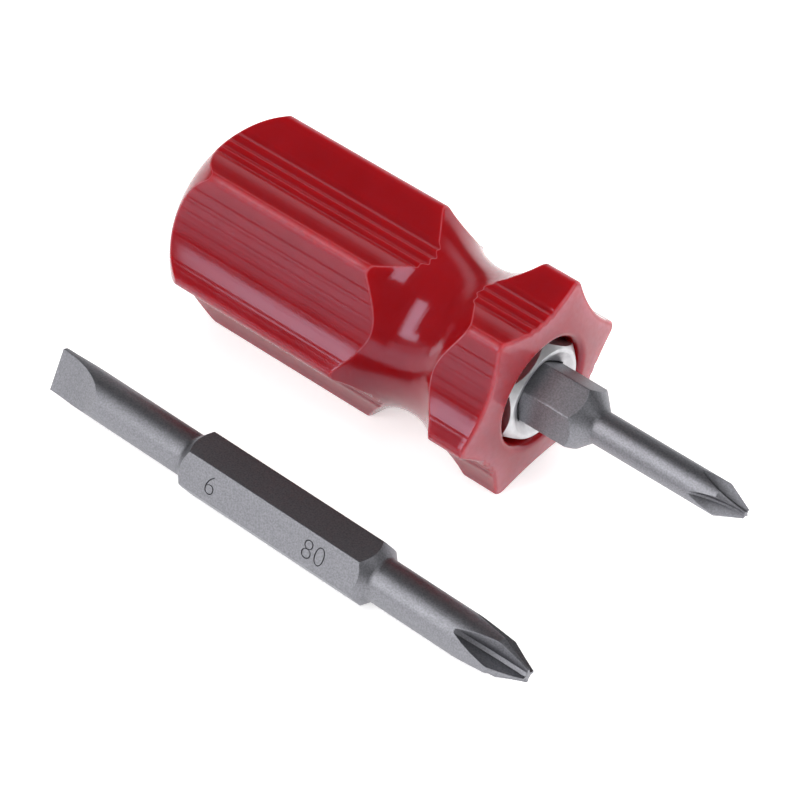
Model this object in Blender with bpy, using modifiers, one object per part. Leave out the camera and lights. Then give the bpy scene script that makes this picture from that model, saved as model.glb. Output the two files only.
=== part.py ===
"""Stubby screwdriver: a fluted plastic handle, a hexagonal steel sleeve in its front end, a reversible bit in
the sleeve and a spare bit lying beside the handle. Every piece is drawn upright on its own axis with its tip
up, and its empty lays it down along +X."""

import math

import bmesh
import bpy

MM = 0.001

# Handle: a six-sided fluted bar, turned at both ends and at the neck
HANDLE_LENGTH = 55.0 * MM
ACROSS_CRESTS = 30.1 * MM
CREST_ROUND = 0.9 * MM
SMOOTH_ACROSS = 24.27 * MM
RIBBED_ACROSS = 23.37 * MM
RIB_COUNT = 5
RIB_PITCH = 1.5 * MM
RIB_HEIGHT = 0.25 * MM
NECK_DIAMETER = 21.4 * MM
NECK_GROOVE_RADIUS = 9.5 * MM
NECK_FROM_FRONT = 14.05 * MM
FRONT_FALL = 0.75 * MM
REAR_TAPER = 27.4
REAR_ROUND = 12.5 * MM
REAR_FLAT = 7.9 * MM
TURNING_STOCK = 0.2 * MM
COUNTERBORE_GAP = 0.38 * MM
COUNTERBORE_DEPTH = 4.0 * MM
LIP_ROUND = 0.6 * MM

# Both bits: a hexagon with a cross tip in front and a slotted blade behind
HEX_ACROSS_FLATS = 7.94 * MM
HEX_LENGTH = 28.1 * MM
HEX_PROUD = 6.7 * MM
CROSS_SHANK_LENGTH = 24.75 * MM
BLADE_SHANK_LENGTH = 25.4 * MM
FLUTE_FLAT = 0.1 * MM

# Fitted bit: the smaller sizes
FITTED_SHANK = 4.5 * MM
FITTED_POINT_LENGTH = 3.65 * MM
FITTED_POINT_FLAT = 1.3 * MM
FITTED_CORE = 0.2 * MM
FITTED_FLUTE_WHEEL = 14.5 * MM
FITTED_FLUTE_TURN = 52.7
FITTED_BLADE_EDGE = 0.7 * MM
FITTED_BLADE_WHEEL = 14.0 * MM
FITTED_BLADE_TURN = 60.0
FITTED_TURN = 21.9

# Spare bit: the larger sizes, lying on a flat of its hexagon
SPARE_SHANK = 6.0 * MM
SPARE_POINT_LENGTH = 4.4 * MM
SPARE_POINT_FLAT = 2.0 * MM
SPARE_CORE = 0.3 * MM
SPARE_FLUTE_WHEEL = 21.4 * MM
SPARE_FLUTE_TURN = 38.5
SPARE_BLADE_EDGE = 0.9 * MM
SPARE_BLADE_WHEEL = 17.0 * MM
SPARE_BLADE_TURN = 60.0
SPARE_SPACING = 30.15 * MM
SPARE_SETBACK = 8.7 * MM
SPARE_YAW = -0.6

# Sleeve: hexagonal stock with its corners turned down and chamfered in front like a nut's
SLEEVE_WALL = 2.33 * MM
SLEEVE_CORNERS = 14.9 * MM
SLEEVE_PROUD = 0.2 * MM
SLEEVE_CHAMFER = 1.2 * MM
SLEEVE_FLOOR = 2.0 * MM
MOUTH_DIAMETER = 11.56 * MM
MOUTH_SLOPE = 30.0

# Retaining ring: split spring wire in a groove of the socket
RING_WIRE = 0.8 * MM
RING_FROM_RIM = 5.5 * MM
RING_SPLIT = 40.0

# Fits
SOCKET_CLEARANCE = 0.2 * MM
SHANK_CLEARANCE = 0.5 * MM
SEAT_GAP = 0.3 * MM
BORE_END_GAP = 1.0 * MM

# How far a cutter passes the surface that it opens
OVERCUT = 2.0 * MM

# Sizes that follow from the ones above
CREST_RADIUS = ACROSS_CRESTS / 2
HEX_CORNER = HEX_ACROSS_FLATS / math.sqrt(3)
SOCKET_ACROSS_FLATS = HEX_ACROSS_FLATS + 2 * SOCKET_CLEARANCE
SLEEVE_ACROSS_FLATS = SOCKET_ACROSS_FLATS + 2 * SLEEVE_WALL
FLOOR_HOLE = max(FITTED_SHANK, SPARE_SHANK) / 2 + SOCKET_CLEARANCE
SHANK_BORE = max(FITTED_SHANK, SPARE_SHANK) / 2 + SHANK_CLEARANCE
SEAT_HEIGHT = HEX_PROUD - HEX_LENGTH - (HEX_CORNER - FLOOR_HOLE) - SEAT_GAP
SLEEVE_END = SEAT_HEIGHT - SLEEVE_FLOOR
RING_RADIUS = HEX_CORNER + SEAT_GAP + RING_WIRE / 2

for old in list(bpy.data.objects):
    bpy.data.objects.remove(old)

PARTS = bpy.data.collections.new("stubby_screwdriver")
CUTTERS = bpy.data.collections.new("cutters")
for group in (PARTS, CUTTERS):
    bpy.context.scene.collection.children.link(group)


def srgb(code):
    """The linear colour of a hex code."""
    channels = [int(code[i : i + 2], 16) / 255 for i in (0, 2, 4)]
    linear = [c / 12.92 if c <= 0.04045 else ((c + 0.055) / 1.055) ** 2.4 for c in channels]
    return (*linear, 1.0)


def material(name, colour, roughness, metallic):
    made = bpy.data.materials.new(name)
    made.use_nodes = True
    surface = made.node_tree.nodes["Principled BSDF"]
    surface.inputs["Base Color"].default_value = srgb(colour)
    surface.inputs["Roughness"].default_value = roughness
    surface.inputs["Metallic"].default_value = metallic
    return made


def arc(centre, radius, start, end, steps):
    """Points of a profile's arc, as (radius, height), between two angles in degrees."""
    angles = [math.radians(start + (end - start) * i / steps) for i in range(steps + 1)]
    return [(centre[0] + radius * math.cos(a), centre[1] + radius * math.sin(a)) for a in angles]


def turned(name, profile, steps, closed=False):
    """A solid of revolution about Z, from a profile that runs top to bottom."""
    mesh = bpy.data.meshes.new(name)
    edges = [(i, i + 1) for i in range(len(profile) - 1)]
    if closed:
        edges.append((len(profile) - 1, 0))
    mesh.from_pydata([(r, 0.0, z) for r, z in profile], edges, [])
    made = bpy.data.objects.new(name, mesh)
    screw = made.modifiers.new("turn", "SCREW")
    screw.steps = steps
    screw.render_steps = steps
    screw.use_merge_vertices = True
    screw.merge_threshold = 0.000001
    return made


def meshed(drawn):
    """A curve object made a mesh object with its caps welded on and its place in the mesh."""
    bpy.context.scene.collection.objects.link(drawn)
    bpy.context.view_layer.update()
    mesh = bpy.data.meshes.new_from_object(drawn.evaluated_get(bpy.context.evaluated_depsgraph_get()))
    mesh.transform(drawn.matrix_world)
    work = bmesh.new()
    work.from_mesh(mesh)
    bmesh.ops.remove_doubles(work, verts=work.verts, dist=0.000001)
    work.to_mesh(mesh)
    work.free()
    name = drawn.name
    bpy.data.objects.remove(drawn)
    return bpy.data.objects.new(name, mesh)


def prism(name, outline, bottom, top):
    """A flat outline extruded between two heights."""
    curve = bpy.data.curves.new(name, "CURVE")
    curve.dimensions = "2D"
    curve.fill_mode = "BOTH"
    curve.extrude = (top - bottom) / 2
    spline = curve.splines.new("POLY")
    spline.points.add(len(outline) - 1)
    for point, (x, y) in zip(spline.points, outline):
        point.co = (x, y, 0.0, 1.0)
    spline.use_cyclic_u = True
    drawn = bpy.data.objects.new(name, curve)
    drawn.location.z = (top + bottom) / 2
    return meshed(drawn)


def hexagon(across_flats, turn):
    """The corners of a hexagon, the first of them turned from +X by an angle in degrees."""
    corner = across_flats / math.sqrt(3)
    angles = [math.radians(turn + 60 * i) for i in range(6)]
    return [(corner * math.cos(a), corner * math.sin(a)) for a in angles]


def combine(target, other, operation):
    """Adds a Boolean with a hidden helper, whose place is given on the target's own axes."""
    CUTTERS.objects.link(other)
    other.parent = target
    other.hide_render = True
    other.display_type = "WIRE"
    step = target.modifiers.new(other.name, "BOOLEAN")
    step.operation = operation
    step.solver = "EXACT"
    step.object = other


def add_part(made, axis, height, turn, look):
    """Puts a finished piece on its axis, with its modifiers applied and its round faces smooth."""
    PARTS.objects.link(made)
    bpy.context.view_layer.update()
    graph = bpy.context.evaluated_depsgraph_get()
    shape = bpy.data.meshes.new_from_object(made.evaluated_get(graph))
    made.modifiers.clear()
    made.data = shape
    shape.name = made.name
    shape.shade_smooth()
    shape.set_sharp_from_angle(angle=math.radians(30))
    shape.materials.clear()
    shape.materials.append(look)
    made.parent = axis
    made.location = (0.0, 0.0, height)
    made.rotation_euler = (0.0, 0.0, math.radians(turn))


def lay_down(name, x, y, z, yaw):
    """An empty that lays upright pieces along +X: their own +X then points to +Y, and their +Y up."""
    made = bpy.data.objects.new(name, None)
    made.empty_display_size = 10 * MM
    made.location = (x, y, z)
    made.rotation_euler = (math.radians(90), 0.0, math.radians(90 + yaw))
    PARTS.objects.link(made)
    return made


def fluted_outline(apex):
    """The bar's section: six hollow sides, every other one ribbed, between crests rounded from sharp ones."""
    half = apex * math.sin(math.radians(30))
    chord = apex * math.cos(math.radians(30))
    reach = half - CREST_ROUND
    ribs = (RIB_COUNT - 1) / 2 * RIB_PITCH
    smooth_steps = 8
    flank_steps = 3
    rib_steps = 4 * (RIB_COUNT - 1)

    def side(number, t):
        ribbed = number % 2 == 1
        middle = (RIBBED_ACROSS if ribbed else SMOOTH_ACROSS) / 2
        out = middle + (chord - middle) * (t / half) ** 2
        if ribbed and abs(t) < ribs:
            out -= RIB_HEIGHT * math.sin(math.pi * (t + ribs) / RIB_PITCH) ** 2
        turn = math.radians(30 + 60 * number)
        return out * math.cos(turn) - t * math.sin(turn), out * math.sin(turn) + t * math.cos(turn)

    smooth = [reach * (2 * i / smooth_steps - 1) for i in range(smooth_steps + 1)]
    flank = [ribs + (reach - ribs) * (i + 1) / flank_steps for i in range(flank_steps)]
    ribbed = [-t for t in reversed(flank)]
    ribbed += [ribs * (2 * i / rib_steps - 1) for i in range(rib_steps + 1)]
    ribbed += flank
    outline = []
    for number in range(6):
        outline += [side(number, t) for t in (ribbed if number % 2 else smooth)]
        turn = math.radians(60 * (number + 1))
        bend = (outline[-1], (apex * math.cos(turn), apex * math.sin(turn)), side(number + 1, -reach))
        for s in (0.25, 0.5, 0.75):
            weights = ((1 - s) ** 2, 2 * s * (1 - s), s**2)
            outline.append(tuple(sum(w * p[i] for w, p in zip(weights, bend)) for i in (0, 1)))
    return outline


def handle_outline():
    """The section whose rounded crests come out at their size."""
    apex = CREST_RADIUS
    for _ in range(6):
        outline = fluted_outline(apex)
        apex += CREST_RADIUS - max(math.hypot(x, y) for x, y in outline)
    return outline


def handle_profile():
    """What turning leaves of the bar: the counterbore, the front face, the neck groove and the domed rear."""
    blank = CREST_RADIUS + TURNING_STOCK
    bore = SLEEVE_CORNERS / 2 + COUNTERBORE_GAP
    lip = bore + LIP_ROUND
    fall = FRONT_FALL / (CREST_RADIUS - lip)
    groove = NECK_DIAMETER / 2 + NECK_GROOVE_RADIUS
    spread = math.degrees(math.acos((groove - blank) / NECK_GROOVE_RADIUS))
    profile = [(0.0, -COUNTERBORE_DEPTH), (bore, -COUNTERBORE_DEPTH)]
    profile += arc((lip, -LIP_ROUND), LIP_ROUND, 180, 90, 3)
    profile.append((blank, -fall * (blank - lip)))
    profile += arc((groove, -NECK_FROM_FRONT), NECK_GROOVE_RADIUS, 180 - spread, 180 + spread, 12)
    dome = arc((REAR_FLAT / 2, REAR_ROUND - HANDLE_LENGTH), REAR_ROUND, -REAR_TAPER, -90, 7)
    taper_top = dome[0][1] + (blank - dome[0][0]) / math.tan(math.radians(REAR_TAPER))
    profile += [(blank, taper_top), *dome]
    profile.append((0.0, -HANDLE_LENGTH))
    return profile


def make_handle(axis):
    bar = prism("handle", handle_outline(), -HANDLE_LENGTH - OVERCUT, OVERCUT)
    combine(bar, turned("handle_turning", handle_profile(), 64), "INTERSECT")
    pocket_radius = SLEEVE_CORNERS / 2 + SEAT_GAP
    pocket_end = SLEEVE_END - SEAT_GAP
    pocket = turned(
        "handle_pocket",
        [(0.0, OVERCUT), (pocket_radius, OVERCUT), (pocket_radius, pocket_end), (0.0, pocket_end)],
        48,
    )
    flats = hexagon(SLEEVE_ACROSS_FLATS + 2 * SEAT_GAP, FITTED_TURN)
    combine(pocket, prism("handle_pocket_flats", flats, pocket_end - OVERCUT, 2 * OVERCUT), "INTERSECT")
    combine(bar, pocket, "DIFFERENCE")
    bore_end = HEX_PROUD - HEX_LENGTH - BLADE_SHANK_LENGTH - BORE_END_GAP
    bore = [(0.0, OVERCUT), (SHANK_BORE, OVERCUT), (SHANK_BORE, bore_end), (0.0, bore_end)]
    combine(bar, turned("handle_shank_bore", bore, 32), "DIFFERENCE")
    add_part(bar, axis, 0.0, 0.0, material("handle_red_plastic", "9B1720", 0.18, 0.0))


def make_sleeve(axis):
    corner = SLEEVE_CORNERS / 2
    mouth = MOUTH_DIAMETER / 2
    profile = [(0.0, SLEEVE_PROUD - mouth * math.tan(math.radians(MOUTH_SLOPE))), (mouth, SLEEVE_PROUD)]
    profile += [(corner - SLEEVE_CHAMFER, SLEEVE_PROUD), (corner, SLEEVE_PROUD - SLEEVE_CHAMFER)]
    profile += [(corner, SLEEVE_END), (0.0, SLEEVE_END)]
    sleeve = turned("bit_sleeve", profile, 48)
    stock = hexagon(SLEEVE_ACROSS_FLATS, FITTED_TURN)
    combine(sleeve, prism("sleeve_stock", stock, SLEEVE_END - OVERCUT, OVERCUT), "INTERSECT")
    socket = hexagon(SOCKET_ACROSS_FLATS, FITTED_TURN)
    combine(sleeve, prism("sleeve_socket", socket, SEAT_HEIGHT, OVERCUT), "DIFFERENCE")
    through = [(0.0, OVERCUT), (FLOOR_HOLE, OVERCUT), (FLOOR_HOLE, SLEEVE_END - OVERCUT)]
    through.append((0.0, SLEEVE_END - OVERCUT))
    combine(sleeve, turned("sleeve_through_hole", through, 32), "DIFFERENCE")
    outer = RING_RADIUS + RING_WIRE / 2 + SEAT_GAP
    middle = SLEEVE_PROUD - RING_FROM_RIM
    half = RING_WIRE / 2 + SEAT_GAP
    groove = [(FLOOR_HOLE, middle + half), (outer, middle + half), (outer, middle - half)]
    groove.append((FLOOR_HOLE, middle - half))
    combine(sleeve, turned("sleeve_ring_groove", groove, 48, closed=True), "DIFFERENCE")
    add_part(sleeve, axis, 0.0, 0.0, material("sleeve_bright_steel", "C9C9CC", 0.28, 1.0))


def make_ring(axis):
    curve = bpy.data.curves.new("retaining_ring", "CURVE")
    curve.dimensions = "3D"
    curve.bevel_depth = RING_WIRE / 2
    curve.bevel_resolution = 1
    curve.use_fill_caps = True
    steps = 36
    spline = curve.splines.new("POLY")
    spline.points.add(steps)
    for i, point in enumerate(spline.points):
        angle = math.radians(RING_SPLIT / 2 + (360 - RING_SPLIT) * i / steps)
        point.co = (RING_RADIUS * math.cos(angle), RING_RADIUS * math.sin(angle), 0.0, 1.0)
    ring = meshed(bpy.data.objects.new("retaining_ring", curve))
    height = SLEEVE_PROUD - RING_FROM_RIM
    add_part(ring, axis, height, FITTED_TURN, material("ring_spring_steel", "8C8C90", 0.35, 1.0))


def make_bit(
    name, shank, point_length, point_flat, core, flute_wheel, flute_turn, edge, blade_wheel, blade_turn
):
    """A bit with its hexagon's front corners at the origin, and one of the corners at +X."""
    radius = shank / 2
    tip = CROSS_SHANK_LENGTH
    end = -HEX_LENGTH - BLADE_SHANK_LENGTH
    blank = HEX_CORNER + TURNING_STOCK
    profile = [
        (0.0, tip),
        (point_flat / 2, tip),
        (radius, tip - point_length),
        (radius, HEX_CORNER - radius),
        (blank, HEX_CORNER - blank),
        (blank, blank - HEX_CORNER - HEX_LENGTH),
        (radius, radius - HEX_CORNER - HEX_LENGTH),
        (radius, end),
        (0.0, end),
    ]
    bit = turned(name, profile, 32)
    stock = hexagon(HEX_ACROSS_FLATS, 0.0)
    combine(bit, prism(name + "_hexagon", stock, end - OVERCUT, tip + OVERCUT), "INTERSECT")

    # Four wheels with a right-angled rim grind the cross, each tangent to its flute's bottom at the tip
    rim = [(0.0, shank), (flute_wheel + FLUTE_FLAT / 2 - shank, shank), (flute_wheel, FLUTE_FLAT / 2)]
    rim += [(r, -z) for r, z in reversed(rim)]
    for i in range(4):
        angle = math.radians(flute_turn + 90 * i)
        wheel = turned(f"{name}_flute_{i + 1}", rim, 120)
        away = core + flute_wheel
        wheel.location = (away * math.cos(angle), away * math.sin(angle), tip)
        wheel.rotation_euler = (math.radians(90), 0.0, angle)
        combine(bit, wheel, "DIFFERENCE")

    # Two wheels hollow-grind the blade's faces
    for i in range(2):
        angle = math.radians(blade_turn + 90 + 180 * i)
        wheel = turned(
            f"{name}_face_{i + 1}",
            [(0.0, shank), (blade_wheel, shank), (blade_wheel, -shank), (0.0, -shank)],
            96,
        )
        away = edge / 2 + blade_wheel
        wheel.location = (away * math.cos(angle), away * math.sin(angle), end)
        wheel.rotation_euler = (math.radians(90), 0.0, angle)
        combine(bit, wheel, "DIFFERENCE")
    return bit


# The origin lies on the bench, under the middle of the driver and the spare bit together
yaw = math.radians(SPARE_YAW)
spare_middle = HEX_PROUD - SPARE_SETBACK - HEX_LENGTH / 2
spare_rear = spare_middle - (HEX_LENGTH / 2 + BLADE_SHANK_LENGTH) * math.cos(yaw)
front_x = -(HEX_PROUD + CROSS_SHANK_LENGTH + min(-HANDLE_LENGTH, spare_rear)) / 2
spare_reach = HEX_CORNER * math.cos(yaw) + HEX_LENGTH / 2 * math.sin(abs(yaw))
driver_y = (SPARE_SPACING + spare_reach - CREST_RADIUS) / 2
driver_z = max(-y for x, y in handle_outline())
spare_x = front_x + spare_middle

driver_axis = lay_down("driver_axis", front_x, driver_y, driver_z, 0.0)
spare_axis = lay_down("spare_axis", spare_x, driver_y - SPARE_SPACING, HEX_ACROSS_FLATS / 2, SPARE_YAW)

make_handle(driver_axis)
make_sleeve(driver_axis)
make_ring(driver_axis)

fitted_bit = make_bit(
    "fitted_bit",
    FITTED_SHANK,
    FITTED_POINT_LENGTH,
    FITTED_POINT_FLAT,
    FITTED_CORE,
    FITTED_FLUTE_WHEEL,
    FITTED_FLUTE_TURN,
    FITTED_BLADE_EDGE,
    FITTED_BLADE_WHEEL,
    FITTED_BLADE_TURN,
)
add_part(fitted_bit, driver_axis, HEX_PROUD, FITTED_TURN, material("fitted_bit_steel", "6E6D71", 0.38, 1.0))

spare_bit = make_bit(
    "spare_bit",
    SPARE_SHANK,
    SPARE_POINT_LENGTH,
    SPARE_POINT_FLAT,
    SPARE_CORE,
    SPARE_FLUTE_WHEEL,
    SPARE_FLUTE_TURN,
    SPARE_BLADE_EDGE,
    SPARE_BLADE_WHEEL,
    SPARE_BLADE_TURN,
)
add_part(spare_bit, spare_axis, HEX_LENGTH / 2, 0.0, material("spare_bit_steel", "6E6D71", 0.38, 1.0))
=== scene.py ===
"""A stubby screwdriver: its handle, sleeve, retaining ring, fitted bit and spare bit, and the studio."""

import math

import bpy
from mathutils import Matrix, Vector


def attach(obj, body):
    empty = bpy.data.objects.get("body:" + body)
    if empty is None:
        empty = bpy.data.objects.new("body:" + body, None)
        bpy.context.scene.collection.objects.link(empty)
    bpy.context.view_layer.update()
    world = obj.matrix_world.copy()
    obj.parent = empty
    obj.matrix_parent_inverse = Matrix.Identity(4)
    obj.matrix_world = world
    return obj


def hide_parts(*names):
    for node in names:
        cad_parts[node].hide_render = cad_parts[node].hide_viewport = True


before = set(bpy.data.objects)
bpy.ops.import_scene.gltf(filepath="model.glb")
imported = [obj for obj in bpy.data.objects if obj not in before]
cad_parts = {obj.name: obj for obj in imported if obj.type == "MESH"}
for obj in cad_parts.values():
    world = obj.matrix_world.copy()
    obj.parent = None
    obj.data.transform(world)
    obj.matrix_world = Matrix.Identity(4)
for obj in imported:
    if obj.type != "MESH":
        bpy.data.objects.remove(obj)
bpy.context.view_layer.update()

# Handle: a six-sided bar of red cellulose acetate butyrate, extruded with three smooth hollow sides and three
# ribbed ones. Its front face, neck and domed rear are turned and then polished, which rounds every edge.
MM = 0.001
FRONT_X = 12.0239 * MM
DRIVER_Y = 9.9155 * MM
DRIVER_Z = 13.137 * MM
HANDLE_SIZES = {
    "Length": 55.0 * MM,
    "Across crests": 30.1 * MM,
    "Crest round": 0.9 * MM,
    "Across smooth sides": 24.27 * MM,
    "Across ribbed sides": 23.37 * MM,
    "Ribs": 5,
    "Rib pitch": 1.5 * MM,
    "Rib height": 0.2 * MM,
    "Neck diameter": 21.4 * MM,
    "Neck groove radius": 9.5 * MM,
    "Neck from front": 14.05 * MM,
    "Front fall": 0.75 * MM,
    "Rear round": 12.5 * MM,
    "Rear flat": 7.9 * MM,
    "Bore": 15.1 * MM,
    "Lip round": 0.9 * MM,
    "Front edge round": 0.45 * MM,
    "Neck edge round": 0.5 * MM,
    "Rear edge round": 0.5 * MM,
}
POCKET_RADIUS = 7.5 * MM
POCKET_END = -25.38 * MM
BORE_DEPTH = -4.0 * MM
SHANK_BORE = 3.5 * MM
SHANK_BORE_END = -47.8 * MM
HANDLE_COLUMNS = 480
WELD = 0.004 * MM
HANDLE_SHARP = 32.0
# How pale the plastic is painted, from 0 to 1: scuff wear with a painted highlight on crests and edges, a
# painted floor reflection on the lip and front
CREST_WEAR_AND_HIGHLIGHT = 0.45
EDGE_WEAR_AND_HIGHLIGHT = 0.28
LIP_PAINTED_REFLECTION = 0.05
FACE_PAINTED_REFLECTION_INNER = 0.08
FACE_PAINTED_REFLECTION_OUTER = 0.44
# The die's lines are read off each side in millimetres, this far on from those of the side before
LINES_APART = 40.0


def srgb(code):
    """The linear colour of a hex code."""
    channels = [int(code[i : i + 2], 16) / 255 for i in (0, 2, 4)]
    linear = [c / 12.92 if c <= 0.04045 else ((c + 0.055) / 1.055) ** 2.4 for c in channels]
    return (*linear, 1.0)


def add_node(tree, kind, feeds, **settings):
    """A node with its settings, and its inputs fed by plain values or by the outputs of other nodes."""
    node = tree.nodes.new(kind)
    for name, value in settings.items():
        setattr(node, name, value)
    for socket, value in feeds.items():
        if isinstance(value, bpy.types.NodeSocket):
            tree.links.new(value, node.inputs[socket])
        else:
            node.inputs[socket].default_value = value
    return node


class Field:
    """A number on every point of the handle's mesh, so that its shape can be written out as formulas."""

    def __init__(self, socket):
        self.socket = socket

    def math(self, operation, *others):
        feeds = {0: self.socket}
        for i, other in enumerate(others, 1):
            feeds[i] = other.socket if isinstance(other, Field) else other
        return Field(add_node(self.socket.id_data, "ShaderNodeMath", feeds, operation=operation).outputs[0])

    def __add__(self, other):
        return self.math("ADD", other)

    def __sub__(self, other):
        return self.math("SUBTRACT", other)

    def __mul__(self, other):
        return self.math("MULTIPLY", other)

    def __truediv__(self, other):
        return self.math("DIVIDE", other)

    def __neg__(self):
        return self.math("MULTIPLY", -1.0)

    def __rsub__(self, other):
        return -self + other

    __radd__ = __add__
    __rmul__ = __mul__


red_plastic = bpy.data.materials.new("polished_red_cellulose_plastic")
red_plastic.use_nodes = True
paint = red_plastic.node_tree
shader = paint.nodes["Principled BSDF"]
place = add_node(paint, "ShaderNodeTexCoord", {}).outputs["Object"]
# The finish attribute carries the painted paleness (scuff wear, painted highlight and painted reflection),
# the die lines and a flag for straight parts
finish = add_node(paint, "ShaderNodeAttribute", {}, attribute_name="finish")
finish = add_node(paint, "ShaderNodeSeparateXYZ", {0: finish.outputs["Vector"]})
# The die leaves fine lines along the bar, turning leaves finer ones round it, and the bar is a little uneven
drawn = add_node(
    paint,
    "ShaderNodeTexNoise",
    {"W": finish.outputs["Y"], "Scale": 1.0, "Detail": 3.0},
    noise_dimensions="1D",
)
reach = add_node(paint, "ShaderNodeSeparateXYZ", {0: place})
cut = add_node(
    paint,
    "ShaderNodeTexNoise",
    {"W": reach.outputs["X"], "Scale": 1 / (0.5 * MM), "Detail": 3.0},
    noise_dimensions="1D",
)
lines = add_node(
    paint,
    "ShaderNodeMix",
    {0: finish.outputs["Z"], 2: cut.outputs["Fac"], 3: drawn.outputs["Fac"]},
    data_type="FLOAT",
)
lined = add_node(
    paint, "ShaderNodeBump", {"Height": lines.outputs[0], "Strength": 0.3, "Distance": 0.05 * MM}
)
ripple = add_node(paint, "ShaderNodeTexNoise", {"Vector": place, "Scale": 1 / (3.5 * MM), "Detail": 2.0})
bump = add_node(
    paint,
    "ShaderNodeBump",
    {
        "Height": ripple.outputs["Fac"],
        "Strength": 0.2,
        "Distance": 0.06 * MM,
        "Normal": lined.outputs["Normal"],
    },
)
paint.links.new(bump.outputs["Normal"], shader.inputs["Normal"])
cloud = add_node(paint, "ShaderNodeTexNoise", {"Vector": place, "Scale": 1 / (6.0 * MM), "Detail": 4.0})
reds = add_node(
    paint, "ShaderNodeMix", {0: cloud.outputs["Fac"], 6: srgb("951219"), 7: srgb("A5171F")}, data_type="RGBA"
)
# The crests and edges are painted paler in broken streaks, partly scuff wear and partly a painted highlight,
# and the front is painted paler as a painted reflection
streaks = add_node(paint, "ShaderNodeTexNoise", {"Vector": place, "Scale": 1 / (0.8 * MM), "Detail": 6.0})
broken = add_node(
    paint,
    "ShaderNodeMapRange",
    {"Value": streaks.outputs["Fac"], "From Min": 0.35, "From Max": 0.65, "To Min": 0.9, "To Max": 1.1},
)
pale_wear_and_sheen = add_node(
    paint, "ShaderNodeMath", {0: finish.outputs["X"], 1: broken.outputs["Result"]}, operation="MULTIPLY"
)
wear_and_sheen_colour = add_node(
    paint, "ShaderNodeMix", {0: pale_wear_and_sheen.outputs[0], 6: reds.outputs[2], 7: srgb("D28C97")}, data_type="RGBA"
)
paint.links.new(wear_and_sheen_colour.outputs[2], shader.inputs["Base Color"])
handled = add_node(
    paint, "ShaderNodeMapRange", {"Value": cloud.outputs["Fac"], "To Min": 0.08, "To Max": 0.18}
)
paint.links.new(handled.outputs["Result"], shader.inputs["Roughness"])
# A few of the die's lines are deep enough to hold dust, and stay dull
dull = add_node(
    paint,
    "ShaderNodeTexNoise",
    {"W": finish.outputs["Y"], "Scale": 1.7, "Detail": 1.0},
    noise_dimensions="1D",
)
dusty = add_node(
    paint, "ShaderNodeMath", {0: dull.outputs["Fac"], 1: finish.outputs["Z"]}, operation="MULTIPLY"
)
shine = add_node(
    paint,
    "ShaderNodeMapRange",
    {"Value": dusty.outputs[0], "From Min": 0.64, "From Max": 0.7, "To Min": 0.5, "To Max": 0.1},
)
paint.links.new(shine.outputs["Result"], shader.inputs["Specular IOR Level"])
shader.inputs["IOR"].default_value = 1.5
shader.inputs["Specular Tint"].default_value = srgb("E2E2FF")
# Light goes a few millimetres into the plastic, so that its lips and edges glow
shader.inputs["Subsurface Weight"].default_value = 1.0
shader.inputs["Subsurface Radius"].default_value = (1.0, 0.06, 0.05)
shader.inputs["Subsurface Scale"].default_value = 5.0 * MM

tree = bpy.data.node_groups.new("fluted_and_turned_bar", "GeometryNodeTree")
tree.interface.new_socket(name="Geometry", in_out="OUTPUT", socket_type="NodeSocketGeometry")
keys = {}
for name, value in HANDLE_SIZES.items():
    kind = "NodeSocketInt" if isinstance(value, int) else "NodeSocketFloat"
    keys[name] = tree.interface.new_socket(name=name, in_out="INPUT", socket_type=kind).identifier
entry = add_node(tree, "NodeGroupInput", {})
size = {name: Field(entry.outputs[name]) for name in HANDLE_SIZES}
bands = add_node(tree, "GeometryNodeJoinGeometry", {})
spread = add_node(tree, "GeometryNodeInputPosition", {})
spread = add_node(tree, "ShaderNodeSeparateXYZ", {0: spread.outputs[0]})
around = Field(spread.outputs["X"]) + 0.5
along = Field(spread.outputs["Y"]) + 0.5

# The section: each side is a hollow parabola that rounds over into the crest at either end
turns = around * 6.0
side = turns.math("MINIMUM", 5.9999).math("FLOOR")
ribbed = side.math("MODULO", 2.0)
crest = size["Across crests"] * 0.5
half = crest * 0.5
chord = crest * math.cos(math.radians(30))
lean = math.tan(math.radians(30))
middle = (size["Across smooth sides"] * (1.0 - ribbed) + size["Across ribbed sides"] * ribbed) * 0.5
hollow = (chord - middle + size["Crest round"] * (lean / 2)) / (half * (half - size["Crest round"]))
rounding = (hollow * half * 2.0 + lean) / (size["Crest round"] * 2.0)
across = ((turns - side) * 2.0 - 1.0) * half
away = across.math("ABSOLUTE")
beyond = (away - half + size["Crest round"]).math("MAXIMUM", 0.0)
rib_reach = (size["Ribs"] - 1.0) * size["Rib pitch"] * 0.5
waves = ((across + rib_reach) / size["Rib pitch"] * math.pi).math("SINE").math("POWER", 2.0)
ribs = waves * away.math("LESS_THAN", rib_reach) * ribbed * size["Rib height"]
out = middle + hollow * across * across - rounding * beyond * beyond - ribs
section = (out * out + across * across).math("SQRT")
bearing = side * math.radians(60) + math.radians(30) + across.math("ARCTAN2", out)
sine = bearing.math("SINE")
cosine = bearing.math("COSINE")
die_lines = across / MM + side * LINES_APART
# Painted highlight with scuff wear: the crests and the rounded edges are painted paler
crest_wear_and_highlight = (beyond / size["Crest round"]).math("POWER", 2.0) * CREST_WEAR_AND_HIGHLIGHT
edge_wear_and_highlight = (along * math.pi).math("SINE") * EDGE_WEAR_AND_HIGHLIGHT


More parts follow.
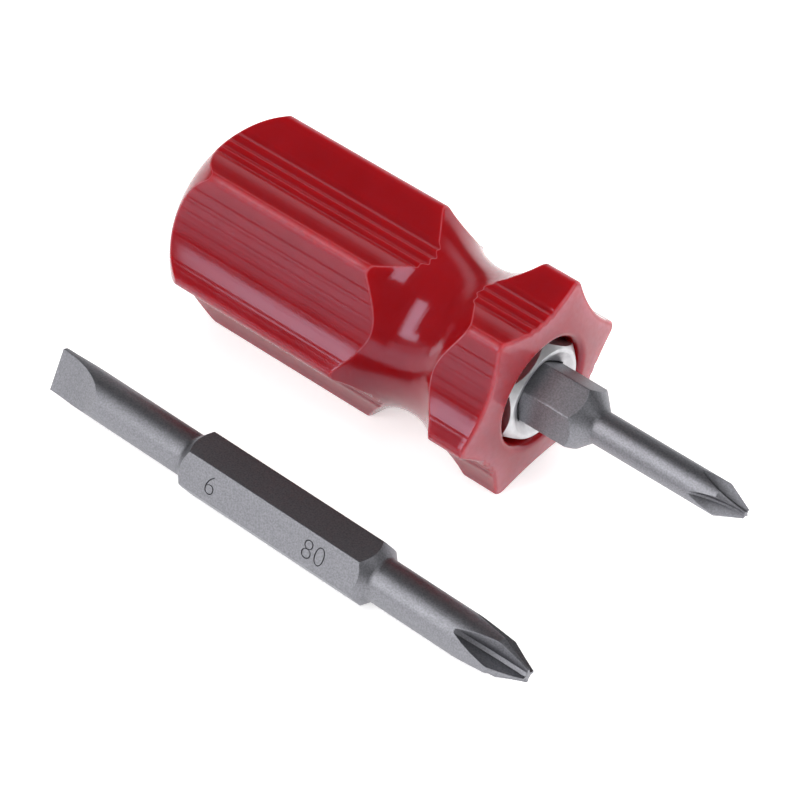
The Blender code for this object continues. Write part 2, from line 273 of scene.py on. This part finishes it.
def band(rows, reach, radius, pale_wear_and_sheen, straight):
    """A strip of faces round the handle, from the reach along the axis, radius and finish of each point."""
    grid = add_node(
        tree,
        "GeometryNodeMeshGrid",
        {"Size X": 1.0, "Size Y": 1.0, "Vertices X": HANDLE_COLUMNS + 1, "Vertices Y": rows + 1},
    )
    finish = {0: getattr(pale_wear_and_sheen, "socket", pale_wear_and_sheen), 1: die_lines.socket, 2: straight}
    marked = add_node(
        tree,
        "GeometryNodeStoreNamedAttribute",
        {
            "Geometry": grid.outputs["Mesh"],
            "Name": "finish",
            "Value": add_node(tree, "ShaderNodeCombineXYZ", finish).outputs[0],
        },
        data_type="FLOAT_VECTOR",
        domain="POINT",
    )
    x, y, z = reach + FRONT_X, radius * cosine + DRIVER_Y, radius * sine + DRIVER_Z
    point = add_node(tree, "ShaderNodeCombineXYZ", {0: x.socket, 1: y.socket, 2: z.socket})
    laid = add_node(
        tree, "GeometryNodeSetPosition", {"Geometry": marked.outputs[0], "Position": point.outputs[0]}
    )
    tree.links.new(laid.outputs[0], bands.inputs[0])


def straight_band(rows, start, end, pale_wear_and_sheen=0.0, straight=0.0):
    """A strip whose profile is a straight line between two (reach, radius) points."""
    x = start[0] + (end[0] - start[0]) * along
    band(rows, x, start[1] + (end[1] - start[1]) * along, pale_wear_and_sheen, straight)


def round_band(rows, centre, radius, start, end, pale_wear_and_sheen=0.0, straight=0.0):
    """A strip whose profile is an arc between two angles, from +X towards the outside."""
    angle = start + (end - start) * along
    x = centre[0] + angle.math("COSINE") * radius
    band(rows, x, centre[1] + angle.math("SINE") * radius, pale_wear_and_sheen, straight)


# The bores from their bottom up to the lip, and the front face down to its rounded edge. The first value of
# each band is its count of rows.
lip = size["Bore"] * 0.5 + size["Lip round"]
bore = [(SHANK_BORE_END, 0.0), (SHANK_BORE_END, SHANK_BORE), (POCKET_END, SHANK_BORE)]
bore += [(POCKET_END, POCKET_RADIUS), (BORE_DEPTH, POCKET_RADIUS), (BORE_DEPTH, size["Bore"] * 0.5)]
bore.append((-size["Lip round"], size["Bore"] * 0.5))
for start, end in zip(bore, bore[1:]):
    straight_band(1, start, end)
# The lip and the front face are painted paler towards the outer edge, a painted reflection of the bright
# floor
round_band(6, (-size["Lip round"], lip), size["Lip round"], -math.pi / 2, 0.0, LIP_PAINTED_REFLECTION)
fall = size["Front fall"] / (crest - lip)
slope = fall.math("ARCTANGENT")
edge = size["Front edge round"]
front_r = section - edge
front_x = -fall * (front_r - lip) - edge / slope.math("COSINE")
face_end = (front_x + edge * slope.math("COSINE"), front_r + edge * slope.math("SINE"))
# Painted reflection: the face is painted paler from the lip outwards
face_painted_reflection = FACE_PAINTED_REFLECTION_INNER + along * (FACE_PAINTED_REFLECTION_OUTER - FACE_PAINTED_REFLECTION_INNER)
straight_band(14, (0.0 * lip, lip), face_end, face_painted_reflection)
round_band(5, (front_x, front_r), edge, slope, math.pi / 2, edge_wear_and_highlight, 1.0)

# The flange, and the neck as a ring groove with a rounded edge on either side
edge = size["Neck edge round"]
groove = size["Neck groove radius"]
groove_r = size["Neck diameter"] * 0.5 + groove
neck_x = -size["Neck from front"]
drop = groove_r - section + edge
neck_half = ((groove + edge) * (groove + edge) - drop * drop).math("SQRT")
swing = drop.math("ARCTAN2", neck_half)
straight_band(8, (front_x, section), (neck_x + neck_half, section), crest_wear_and_highlight, 1.0)
round_band(6, (neck_x + neck_half, section - edge), edge, math.pi / 2, math.pi - swing, edge_wear_and_highlight, 1.0)
round_band(34, (neck_x, groove_r), groove, -swing, swing - math.pi)
round_band(6, (neck_x - neck_half, section - edge), edge, swing, math.pi / 2, edge_wear_and_highlight, 1.0)

# The barrel and the domed rear
edge = size["Rear edge round"]
dome = size["Rear round"]
dome_r = size["Rear flat"] * 0.5
dome_x = dome - size["Length"]
rise = section - edge - dome_r
back = ((dome - edge) * (dome - edge) - rise * rise).math("SQRT")
straight_band(14, (neck_x - neck_half, section), (dome_x - back, section), crest_wear_and_highlight, 1.0)
tilt = rise.math("ARCTAN2", -back)
round_band(6, (dome_x - back, section - edge), edge, math.pi / 2, tilt, edge_wear_and_highlight, 1.0)
round_band(26, (dome_x, dome_r), dome, tilt, math.pi)
straight_band(3, (-size["Length"], dome_r), (-size["Length"], 0.0))

welded = add_node(
    tree, "GeometryNodeMergeByDistance", {"Geometry": bands.outputs[0], "Distance": WELD}
)
outward = add_node(tree, "GeometryNodeFlipFaces", {"Mesh": welded.outputs[0]})
real = add_node(tree, "GeometryNodeRealizeInstances", {"Geometry": outward.outputs[0]})
dressed = add_node(tree, "GeometryNodeSetMaterial", {"Geometry": real.outputs[0], "Material": red_plastic})
add_node(tree, "NodeGroupOutput", {0: dressed.outputs[0]})


def bake(worked, name, sharp=10.0):
    """The evaluated mesh of a worked object, as a plain piece with rounded shading and no modifier left."""
    bpy.context.view_layer.update()
    graph = bpy.context.evaluated_depsgraph_get()
    mesh = bpy.data.meshes.new_from_object(worked.evaluated_get(graph))
    mesh.name = name
    mesh.transform(worked.matrix_world)
    mesh.shade_smooth()
    mesh.set_sharp_from_angle(angle=math.radians(sharp))
    bpy.data.objects.remove(worked)
    piece = bpy.data.objects.new(name, mesh)
    bpy.context.scene.collection.objects.link(piece)
    return piece


worked = bpy.data.objects.new("handle_work", bpy.data.meshes.new("handle_work"))
bpy.context.scene.collection.objects.link(worked)
bar = worked.modifiers.new("bar", "NODES")
bar.node_group = tree
for name, value in HANDLE_SIZES.items():
    bar[keys[name]] = value
handle = bake(worked, "fluted_handle", HANDLE_SHARP)
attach(handle, "driver")
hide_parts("handle")

# Bit sleeve: hexagonal steel bar with its corners turned down and chamfered like a nut's, countersunk,
# broached and plated bright. It is pressed into the handle and stands just proud of the front face.
SLEEVE_FLATS = 13.0 * MM
SLEEVE_CORNERS = 14.9 * MM
SLEEVE_PROUD = 0.2 * MM
SLEEVE_CHAMFER = 1.2 * MM
SLEEVE_EDGE = 0.15 * MM
STOCK_CORNER = 0.1 * MM
SLEEVE_END = -25.084 * MM
SEAT = -23.084 * MM
MOUTH = 11.56 * MM
MOUTH_SLOPE = 30.0
MOUTH_EDGE = 0.1 * MM
SOCKET_FLATS = 8.34 * MM
SOCKET_TURN = 21.9
SOCKET_CORNER = 0.15 * MM
FLOOR_HOLE = 3.2 * MM
RING_GROOVE = (5.984 * MM, -5.3 * MM, 0.7 * MM)
OVERCUT = 2.0 * MM


def arc(centre, radius, start, end, steps):
    """Points of a profile's arc, as (radius, height), between two angles in degrees."""
    angles = [math.radians(start + (end - start) * i / steps) for i in range(steps + 1)]
    return [(centre[0] + radius * math.cos(a), centre[1] + radius * math.sin(a)) for a in angles]


def turned(name, profile, steps, closed=False):
    """A solid of revolution about Z, from a profile that runs top to bottom."""
    mesh = bpy.data.meshes.new(name)
    edges = [(i, i + 1) for i in range(len(profile) - 1)]
    if closed:
        edges.append((len(profile) - 1, 0))
    mesh.from_pydata([(r, 0.0, z) for r, z in profile], edges, [])
    made = bpy.data.objects.new(name, mesh)
    bpy.context.scene.collection.objects.link(made)
    screw = made.modifiers.new("turn", "SCREW")
    screw.steps = steps
    screw.render_steps = steps
    screw.use_merge_vertices = True
    screw.merge_threshold = 0.001 * MM
    return made


def hexagonal_bar(name, across_flats, turn, corner_round, bottom, top):
    """A hexagonal bar along Z with slightly rounded corners, the first of them turned from +X."""
    outline = []
    for i in range(6):
        corner = math.radians(turn + 60 * i)
        centre = across_flats / math.sqrt(3) - corner_round * 2 / math.sqrt(3)
        for j in range(5):
            angle = corner + math.radians(15 * j - 30)
            outline.append(
                (
                    centre * math.cos(corner) + corner_round * math.cos(angle),
                    centre * math.sin(corner) + corner_round * math.sin(angle),
                )
            )
    count = len(outline)
    points = [(x, y, z) for z in (bottom, top) for x, y in outline]
    faces = [tuple(range(count - 1, -1, -1)), tuple(range(count, 2 * count))]
    faces += [(i, (i + 1) % count, count + (i + 1) % count, count + i) for i in range(count)]
    mesh = bpy.data.meshes.new(name)
    mesh.from_pydata(points, [], faces)
    made = bpy.data.objects.new(name, mesh)
    bpy.context.scene.collection.objects.link(made)
    return made


def combine(target, other, operation):
    """Joins or cuts a shape with another one, which is used up."""
    step = target.modifiers.new(other.name, "BOOLEAN")
    step.operation = operation
    step.solver = "EXACT"
    step.object = other
    bpy.context.view_layer.update()
    graph = bpy.context.evaluated_depsgraph_get()
    mesh = bpy.data.meshes.new_from_object(target.evaluated_get(graph))
    target.modifiers.clear()
    target.data = mesh
    bpy.data.objects.remove(other)


# Local +X then points to +Y, local +Y up, and local +Z, where the tips are, along +X
LAID_DOWN = Matrix(((0, 0, 1, 0), (1, 0, 0, 0), (0, 1, 0, 0), (0, 0, 0, 1)))
driver_place = Matrix.Translation((FRONT_X, DRIVER_Y, DRIVER_Z)) @ LAID_DOWN

bright_steel = bpy.data.materials.new("bright_plated_steel")
bright_steel.use_nodes = True
paint = bright_steel.node_tree
shader = paint.nodes["Principled BSDF"]
place = add_node(paint, "ShaderNodeTexCoord", {}).outputs["Object"]
# Plating over a turned surface: bright, with soft clouds where it has dulled
cloud = add_node(paint, "ShaderNodeTexNoise", {"Vector": place, "Scale": 1 / (1.2 * MM), "Detail": 5.0})
greys = add_node(
    paint, "ShaderNodeMix", {0: cloud.outputs["Fac"], 6: srgb("B9B9BD"), 7: srgb("E2E2E4")}, data_type="RGBA"
)
paint.links.new(greys.outputs[2], shader.inputs["Base Color"])
dulled = add_node(
    paint, "ShaderNodeMapRange", {"Value": cloud.outputs["Fac"], "To Min": 0.55, "To Max": 0.35}
)
paint.links.new(dulled.outputs["Result"], shader.inputs["Roughness"])
shader.inputs["Metallic"].default_value = 1.0

corner = SLEEVE_CORNERS / 2
mouth = MOUTH / 2
mouth_depth = mouth * math.tan(math.radians(MOUTH_SLOPE))
profile = [(0.0, SLEEVE_PROUD - mouth_depth), (mouth - MOUTH_EDGE, SLEEVE_PROUD - 0.6 * MOUTH_EDGE)]
profile += [(mouth, SLEEVE_PROUD - 0.15 * MOUTH_EDGE), (mouth + MOUTH_EDGE, SLEEVE_PROUD)]
rim = corner - SLEEVE_CHAMFER
lift = SLEEVE_EDGE / math.cos(math.radians(22.5)) - SLEEVE_EDGE
profile += arc((rim - lift, SLEEVE_PROUD - SLEEVE_EDGE), SLEEVE_EDGE, 90, 45, 4)
profile += arc((corner - SLEEVE_EDGE, SLEEVE_PROUD - SLEEVE_CHAMFER - lift), SLEEVE_EDGE, 45, 0, 4)
profile += [(corner, SLEEVE_END), (0.0, SLEEVE_END)]
worked = turned("sleeve_work", profile, 192)
stock = hexagonal_bar("stock", SLEEVE_FLATS, SOCKET_TURN, STOCK_CORNER, SLEEVE_END - OVERCUT, OVERCUT)
combine(worked, stock, "INTERSECT")
socket = hexagonal_bar("socket", SOCKET_FLATS, SOCKET_TURN, SOCKET_CORNER, SEAT, OVERCUT)
combine(worked, socket, "DIFFERENCE")
hole_end = SLEEVE_END - OVERCUT
hole = [(0.0, OVERCUT), (FLOOR_HOLE, OVERCUT), (FLOOR_HOLE, hole_end), (0.0, hole_end)]
combine(worked, turned("hole", hole, 64), "DIFFERENCE")
outer, height, half_width = RING_GROOVE
groove = [(FLOOR_HOLE, height + half_width), (outer, height + half_width)]
groove += [(outer, height - half_width), (FLOOR_HOLE, height - half_width)]
combine(worked, turned("groove", groove, 96, closed=True), "DIFFERENCE")
worked.matrix_world = driver_place
sleeve = bake(worked, "pressed_sleeve")
sleeve.data.materials.clear()
sleeve.data.materials.append(bright_steel)
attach(sleeve, "driver")
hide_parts("bit_sleeve")

# Retaining ring: round spring wire, coiled to most of a turn and sprung into its groove in the socket, where
# it grips the corners of a bit. Heat has left it a dull grey.
spring_steel = bpy.data.materials.new("drawn_spring_steel_wire")
spring_steel.use_nodes = True
paint = spring_steel.node_tree
shader = paint.nodes["Principled BSDF"]
place = add_node(paint, "ShaderNodeTexCoord", {}).outputs["Object"]
# Drawn wire: grey, with fine dull patches
scale = add_node(paint, "ShaderNodeTexNoise", {"Vector": place, "Scale": 1 / (0.4 * MM), "Detail": 3.0})
greys = add_node(
    paint, "ShaderNodeMix", {0: scale.outputs["Fac"], 6: srgb("6F6F73"), 7: srgb("97979B")}, data_type="RGBA"
)
paint.links.new(greys.outputs[2], shader.inputs["Base Color"])
shader.inputs["Metallic"].default_value = 1.0
shader.inputs["Roughness"].default_value = 0.35
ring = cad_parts["retaining_ring"]
ring.data.materials.clear()
ring.data.materials.append(spring_steel)

# Fitted bit: one bar of tool steel with a hexagon, a No. 1 cross tip and a 4.5 mm blade. It is turned, ground
# with wheels, hardened, blasted and finished dark, and it pushes into the sleeve either way round.
HEX_FLATS = 7.94 * MM
HEX_CORNER = HEX_FLATS / math.sqrt(3)
HEX_LENGTH = 28.1 * MM
HEX_PROUD = 6.7 * MM
CROSS_SHANK = 24.75 * MM
BLADE_SHANK = 25.4 * MM
BIT_CORNER = 0.2 * MM
BLANK_SPARE = 0.2 * MM
FILLET_LENGTH = 0.25 * MM
FILLET_RISE = 0.1 * MM
MARK_DEPTH = 0.15 * MM
# Shares of a number's height: how much thinner its strokes are cut, and where its middle is
MARK_THINNED = 0.03
MARK_MIDDLE = 0.35
FITTED_SIZES = {
    "Shank": 4.5 * MM,
    "Point length": 3.65 * MM,
    "Point flat": 1.3 * MM,
    "Core": 0.33 * MM,
    "Flute floor": 0.36 * MM,
    "Flute wheel": 14.5 * MM,
    "Flute turn": math.radians(52.7),
    "Blade edge": 0.7 * MM,
    "Blade wheel": 14.0 * MM,
    "Blade turn": math.radians(60),
}
FITTED_TURN = 21.9

bit_steel = bpy.data.materials.new("blasted_dark_tool_steel")
bit_steel.use_nodes = True
paint = bit_steel.node_tree
shader = paint.nodes["Principled BSDF"]
place = add_node(paint, "ShaderNodeTexCoord", {}).outputs["Object"]
# Blasting leaves a fine sparkle of pits, drawn at 0.22 mm so that it shows, under a thin dark finish
pits = add_node(paint, "ShaderNodeTexNoise", {"Vector": place, "Scale": 1 / (0.22 * MM), "Detail": 3.0})
wear = add_node(paint, "ShaderNodeTexNoise", {"Vector": place, "Scale": 1 / (3.0 * MM), "Detail": 4.0})
# Every edge is broken by a tenth of a millimetre, and glints
broken = add_node(paint, "ShaderNodeBevel", {"Radius": 0.12 * MM}, samples=4)
bump = add_node(
    paint,
    "ShaderNodeBump",
    {
        "Height": pits.outputs["Fac"],
        "Strength": 0.3,
        "Distance": 0.03 * MM,
        "Normal": broken.outputs["Normal"],
    },
)
paint.links.new(bump.outputs["Normal"], shader.inputs["Normal"])
tone = add_node(
    paint, "ShaderNodeMapRange", {"Value": pits.outputs["Fac"], "From Min": 0.35, "From Max": 0.65}
)
greys = add_node(
    paint,
    "ShaderNodeMix",
    {0: tone.outputs["Result"], 6: srgb("828287"), 7: srgb("97979D")},
    data_type="RGBA",
)
# Painted shade: the steel is darkened in the flutes, inner corners and cut numbers, wherever it is hemmed in
open_to_light = add_node(
    paint, "ShaderNodeAmbientOcclusion", {"Distance": 1.5 * MM}, only_local=True, samples=8
)
painted_shade = add_node(
    paint,
    "ShaderNodeMapRange",
    {"Value": open_to_light.outputs["AO"], "From Min": 0.5, "From Max": 1.0, "To Min": 0.85, "To Max": 0.0},
)
shade_painted_greys = add_node(
    paint,
    "ShaderNodeMix",
    {0: painted_shade.outputs["Result"], 6: greys.outputs[2], 7: srgb("3A3A3E")},
    data_type="RGBA",
)
paint.links.new(shade_painted_greys.outputs[2], shader.inputs["Base Color"])
rubbed = add_node(
    paint, "ShaderNodeMapRange", {"Value": wear.outputs["Fac"], "To Min": 0.51, "To Max": 0.45}
)
paint.links.new(rubbed.outputs["Result"], shader.inputs["Roughness"])
shader.inputs["Metallic"].default_value = 1.0

tree = bpy.data.node_groups.new("ground_ends", "GeometryNodeTree")
tree.interface.new_socket(name="Geometry", in_out="OUTPUT", socket_type="NodeSocketGeometry")
GRINDING = {
    "Blank": "NodeSocketGeometry",
    "Flute wheel": "NodeSocketObject",
    "Flutes": "NodeSocketInt",
    "Flute away": "NodeSocketFloat",
    "Flute turn": "NodeSocketFloat",
    "Face wheel": "NodeSocketObject",
    "Faces": "NodeSocketInt",
    "Face away": "NodeSocketFloat",
    "Face turn": "NodeSocketFloat",
}
grinding_keys = {}
for name, kind in GRINDING.items():
    grinding_keys[name] = tree.interface.new_socket(name=name, in_out="INPUT", socket_type=kind).identifier
entry = add_node(tree, "NodeGroupInput", {})
index = Field(add_node(tree, "GeometryNodeInputIndex", {}).outputs[0])
ground = entry.outputs["Blank"]
for wheel, count, distance, turn, height in (
    ("Flute wheel", "Flutes", "Flute away", "Flute turn", CROSS_SHANK),
    ("Face wheel", "Faces", "Face away", "Face turn", -HEX_LENGTH - BLADE_SHANK),
):
    shape = add_node(tree, "GeometryNodeObjectInfo", {"Object": entry.outputs[wheel]})
    angle = index * (2 * math.pi) / Field(entry.outputs[count]) + Field(entry.outputs[turn])
    reach = Field(entry.outputs[distance])
    spots = add_node(tree, "GeometryNodePoints", {"Count": entry.outputs[count]})
    spot = add_node(
        tree,
        "ShaderNodeCombineXYZ",
        {0: (angle.math("COSINE") * reach).socket, 1: (angle.math("SINE") * reach).socket, 2: height},
    )
    tree.links.new(spot.outputs[0], spots.inputs["Position"])
    facing = add_node(tree, "ShaderNodeCombineXYZ", {0: 0.0, 1: 0.0, 2: angle.socket})
    wheels = add_node(
        tree,
        "GeometryNodeInstanceOnPoints",
        {"Points": spots.outputs[0], "Instance": shape.outputs["Geometry"], "Rotation": facing.outputs[0]},
    )
    apart = add_node(tree, "GeometryNodeRealizeInstances", {"Geometry": wheels.outputs[0]})
    cut = add_node(
        tree,
        "GeometryNodeMeshBoolean",
        {"Mesh 1": ground, "Mesh 2": apart.outputs[0], "Self Intersection": True},
        operation="DIFFERENCE",
        solver="EXACT",
    )
    ground = cut.outputs["Mesh"]
real = add_node(tree, "GeometryNodeRealizeInstances", {"Geometry": ground})
dressed = add_node(tree, "GeometryNodeSetMaterial", {"Geometry": real.outputs[0], "Material": bit_steel})
add_node(tree, "NodeGroupOutput", {0: dressed.outputs[0]})


def ground_bit(name, sizes, place, marks=()):
    """A bit turned from hexagonal bar and ground at both ends, with its hexagon's front at its origin."""
    radius = sizes["Shank"] / 2
    tip = CROSS_SHANK
    end = -HEX_LENGTH - BLADE_SHANK
    blank = HEX_CORNER + BLANK_SPARE
    front = HEX_CORNER - radius
    back = -HEX_LENGTH - front
    profile = [(0.0, tip), (sizes["Point flat"] / 2, tip), (radius, tip - sizes["Point length"])]
    profile += [(radius, front + FILLET_LENGTH), (radius + FILLET_RISE, front - FILLET_RISE / 2)]
    profile += [(blank, HEX_CORNER - blank), (blank, blank - HEX_CORNER - HEX_LENGTH)]
    profile += [(radius + FILLET_RISE, back + FILLET_RISE / 2), (radius, back - FILLET_LENGTH)]
    profile += [(radius, end), (0.0, end)]
    worked = turned(name + "_work", profile, 96)
    bar = hexagonal_bar("bar", HEX_FLATS, 0.0, BIT_CORNER, end - OVERCUT, tip + OVERCUT)
    combine(worked, bar, "INTERSECT")
    for number, height, reach in marks:
        letter = bpy.data.curves.new("number", "FONT")
        letter.body = number
        letter.size = height
        letter.extrude = MARK_DEPTH
        letter.offset = -MARK_THINNED * height
        cutter = bpy.data.objects.new("number", letter)
        bpy.context.scene.collection.objects.link(cutter)
        # The number reads towards the cross tip, on the flat that looks up and away from the handle
        cutter.matrix_world = (
            Matrix.Rotation(math.radians(60), 4, "Z")
            @ Matrix.Translation((-MARK_MIDDLE * height, HEX_FLATS / 2, reach))
            @ LAID_DOWN.transposed()
        )
        combine(worked, bake(cutter, "number"), "DIFFERENCE")
    upright = Matrix.Rotation(math.radians(90), 4, "X")
    wheel = sizes["Flute wheel"]
    wide = sizes["Shank"]
    flat = sizes["Flute floor"] / 2
    rim = [(0.0, wide), (wheel + flat - wide, wide), (wheel, flat)]
    rim += [(r, -z) for r, z in reversed(rim)]
    flute_wheel = bake(turned("flute", rim, 240), "flute_wheel")
    flute_wheel.data.transform(upright)
    face = sizes["Blade wheel"]
    disc = [(0.0, wide), (face, wide), (face, -wide), (0.0, -wide)]
    face_wheel = bake(turned("face", disc, 192), "face_wheel")
    face_wheel.data.transform(upright)
    step = worked.modifiers.new("grinding", "NODES")
    step.node_group = tree
    step[grinding_keys["Flute wheel"]] = flute_wheel
    step[grinding_keys["Flutes"]] = 4
    step[grinding_keys["Flute away"]] = sizes["Core"] + wheel
    step[grinding_keys["Flute turn"]] = sizes["Flute turn"]
    step[grinding_keys["Face wheel"]] = face_wheel
    step[grinding_keys["Faces"]] = 2
    step[grinding_keys["Face away"]] = sizes["Blade edge"] / 2 + face
    step[grinding_keys["Face turn"]] = sizes["Blade turn"] + math.pi / 2
    worked.matrix_world = place
    bit = bake(worked, name)
    bpy.data.objects.remove(flute_wheel)
    bpy.data.objects.remove(face_wheel)
    return bit


turn = Matrix.Rotation(math.radians(FITTED_TURN), 4, "Z")
fitted_bit = ground_bit(
    "ground_fitted_bit", FITTED_SIZES, driver_place @ Matrix.Translation((0, 0, HEX_PROUD)) @ turn
)
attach(fitted_bit, "fitted_bit")
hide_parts("fitted_bit")

# Spare bit: the same bar of dark blasted tool steel one size up, with a No. 2 cross tip and a 6 mm blade. It
# lies loose on a flat of its hexagon beside the handle.
SPARE_SIZES = {
    "Shank": 6.0 * MM,
    "Point length": 4.4 * MM,
    "Point flat": 2.0 * MM,
    "Core": 0.52 * MM,
    "Flute floor": 0.54 * MM,
    "Flute wheel": 21.4 * MM,
    "Flute turn": math.radians(38.5),
    "Blade edge": 0.9 * MM,
    "Blade wheel": 17.0 * MM,
    "Blade turn": math.radians(60),
}
SPARE_PLACE = (-4.0261 * MM, -20.2345 * MM, 3.97 * MM)
SPARE_YAW = -0.6
spare_place = Matrix.Translation(SPARE_PLACE) @ Matrix.Rotation(math.radians(SPARE_YAW), 4, "Z") @ LAID_DOWN
SPARE_MARKS = [("6", 3.9 * MM, -24.6 * MM), ("80", 3.9 * MM, -8.4 * MM)]
spare_bit = ground_bit(
    "ground_spare_bit", SPARE_SIZES, spare_place @ Matrix.Translation((0, 0, HEX_LENGTH / 2)), SPARE_MARKS
)
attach(spare_bit, "spare_bit")
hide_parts("spare_bit")

# Studio: a white paper floor, white low all round and dark overhead, with a pale card behind the tool. Soft
# boxes draw the pale bands along the handle. The camera looks down over the spare bit, from the tips' side.
PAPER_LIFT = 0.62
FLOOR_HALF = 2.0
FLOOR_DROP = 0.02 * MM
CARD_BEARING = (-0.45, 0.89, 0.0)
CAMERA_PLACE = (0.215018, -0.253028, 0.354276)
CAMERA_AZIMUTH = 49.2687
CAMERA_ELEVATION = 45.8981
CAMERA_ROLL = -0.3108

sweep = bpy.data.materials.new("white_paper_sweep")
sweep.use_nodes = True
paint = sweep.node_tree
shader = paint.nodes["Principled BSDF"]
shader.inputs["Base Color"].default_value = srgb("F2F2F2")
shader.inputs["Roughness"].default_value = 0.9
seen = add_node(paint, "ShaderNodeLightPath", {})
# What the eye and bright metal see of the paper is lifted to white, and the shadow stays in it
looked = add_node(
    paint,
    "ShaderNodeMath",
    {0: seen.outputs["Is Camera Ray"], 1: seen.outputs["Is Glossy Ray"]},
    operation="MAXIMUM",
)
through = add_node(
    paint,
    "ShaderNodeMath",
    {0: looked.outputs[0], 1: seen.outputs["Is Transmission Ray"]},
    operation="MAXIMUM",
)
lift = add_node(paint, "ShaderNodeMath", {0: through.outputs[0], 1: PAPER_LIFT}, operation="MULTIPLY")
shader.inputs["Emission Color"].default_value = (1.0, 1.0, 1.0, 1.0)
paint.links.new(lift.outputs[0], shader.inputs["Emission Strength"])
floor_mesh = bpy.data.meshes.new("floor")
corners = [(x * FLOOR_HALF, y * FLOOR_HALF, 0.0) for x, y in ((-1, -1), (1, -1), (1, 1), (-1, 1))]
floor_mesh.from_pydata(corners, [], [(0, 1, 2, 3)])
floor = bpy.data.objects.new("floor", floor_mesh)
floor.location.z = -FLOOR_DROP
bpy.context.scene.collection.objects.link(floor)
floor_mesh.materials.append(sweep)

world = bpy.data.worlds.new("studio")
bpy.context.scene.world = world
world.use_nodes = True
sky = world.node_tree
aim = add_node(sky, "ShaderNodeTexCoord", {})
height = add_node(sky, "ShaderNodeSeparateXYZ", {0: aim.outputs["Generated"]})
ramp = add_node(sky, "ShaderNodeValToRGB", {0: height.outputs["Z"]})
ramp.color_ramp.elements[0].position = 0.01
ramp.color_ramp.elements[0].color = (1.0, 1.0, 1.0, 1.0)
ramp.color_ramp.elements[1].position = 0.05
ramp.color_ramp.elements[1].color = (0.06, 0.06, 0.06, 1.0)
# A pale card stands behind the tool, seen softly in the ribs and along the top of the neck
behind = add_node(
    sky,
    "ShaderNodeVectorMath",
    {0: aim.outputs["Generated"], 1: CARD_BEARING},
    operation="DOT_PRODUCT",
)
wide = add_node(
    sky,
    "ShaderNodeMapRange",
    {"Value": behind.outputs["Value"], "From Min": 0.55, "From Max": 0.85},
    interpolation_type="SMOOTHSTEP",
)
low = add_node(
    sky,
    "ShaderNodeMapRange",
    {"Value": height.outputs["Z"], "From Min": 0.22, "From Max": 0.42},
    interpolation_type="SMOOTHSTEP",
)
high = add_node(
    sky,
    "ShaderNodeMapRange",
    {"Value": height.outputs["Z"], "From Min": 0.46, "From Max": 0.66, "To Min": 0.9, "To Max": 0.0},
    interpolation_type="SMOOTHSTEP",
)
tall = add_node(
    sky, "ShaderNodeMath", {0: low.outputs["Result"], 1: high.outputs["Result"]}, operation="MULTIPLY"
)
card = add_node(sky, "ShaderNodeMath", {0: tall.outputs[0], 1: wide.outputs["Result"]}, operation="MULTIPLY")
glow = add_node(sky, "ShaderNodeMath", {0: ramp.outputs[0], 1: card.outputs[0]}, operation="MAXIMUM")
background = sky.nodes["Background"]
sky.links.new(glow.outputs[0], background.inputs["Color"])
background.inputs["Strength"].default_value = 1.0


def soft_box(name, low, high, width, glow):
    """A flat lamp 1 m from the tool, between two bearings given as azimuth and elevation, of an even glow."""
    ends = [
        Vector((math.cos(a) * math.cos(e), math.sin(a) * math.cos(e), math.sin(e)))
        for a, e in ([math.radians(v) for v in end] for end in (low, high))
    ]
    facing = (ends[0] + ends[1]).normalized()
    up = (ends[1] - ends[0]).normalized()
    side = up.cross(facing)
    lamp = bpy.data.lights.new(name, "AREA")
    lamp.shape = "RECTANGLE"
    lamp.size = width
    lamp.size_y = 2 * math.tan(ends[0].angle(ends[1]) / 2)
    lamp.energy = glow * math.pi * lamp.size * lamp.size_y
    box = bpy.data.objects.new(name, lamp)
    bpy.context.scene.collection.objects.link(box)
    box.matrix_world = Matrix.Translation(facing) @ Matrix((side, up, facing)).transposed().to_4x4()
    box.visible_camera = False
    return box


# The leaning front box draws the streak on the neck, and the low ones draw the bands along the smooth sides
soft_box("front_box", (-104.0, 22.0), (-128.0, 71.0), 0.34, 5.4)
soft_box("low_box", (-121.0, 20.0), (-121.0, 30.0), 0.18, 5.0)
soft_box("right_box", (7.0, 43.0), (7.0, 64.0), 0.42, 4.4)
soft_box("left_wall", (-118.0, 1.0), (-118.0, 13.5), 1.2, 1.0)
soft_box("left_strip", (-119.0, 16.0), (-119.0, 18.8), 0.7, 0.7)
soft_box("left_lamp", (-162.0, 0.0), (-162.0, 8.0), 0.3, 2.4)
# Two fills light the front face and the far side, and are kept out of the reflections
front_fill = soft_box("front_fill", (20.0, 0.0), (20.0, 40.0), 1.2, 2.0)
back_fill = soft_box("back_fill", (110.0, 35.0), (110.0, 75.0), 1.2, 1.2)
for fill in (front_fill, back_fill):
    fill.visible_glossy = False

lens = bpy.data.cameras.new("camera")
lens.lens = 172.603
lens.sensor_width = 36.0
lens.clip_start = 0.01
camera = bpy.data.objects.new("camera", lens)
bpy.context.scene.collection.objects.link(camera)
azimuth, elevation = math.radians(CAMERA_AZIMUTH), math.radians(CAMERA_ELEVATION)
behind = Vector(
    (math.cos(elevation) * math.cos(azimuth), -math.cos(elevation) * math.sin(azimuth), math.sin(elevation))
)
right = Vector((math.sin(azimuth), math.cos(azimuth), 0.0))
upward = behind.cross(right)
rolled = Matrix.Rotation(math.radians(CAMERA_ROLL), 4, "Z")
facing = Matrix((right, upward, behind)).transposed().to_4x4() @ rolled
camera.matrix_world = Matrix.Translation(CAMERA_PLACE) @ facing
bpy.context.scene.camera = camera
bpy.context.scene.view_settings.view_transform = "Standard"
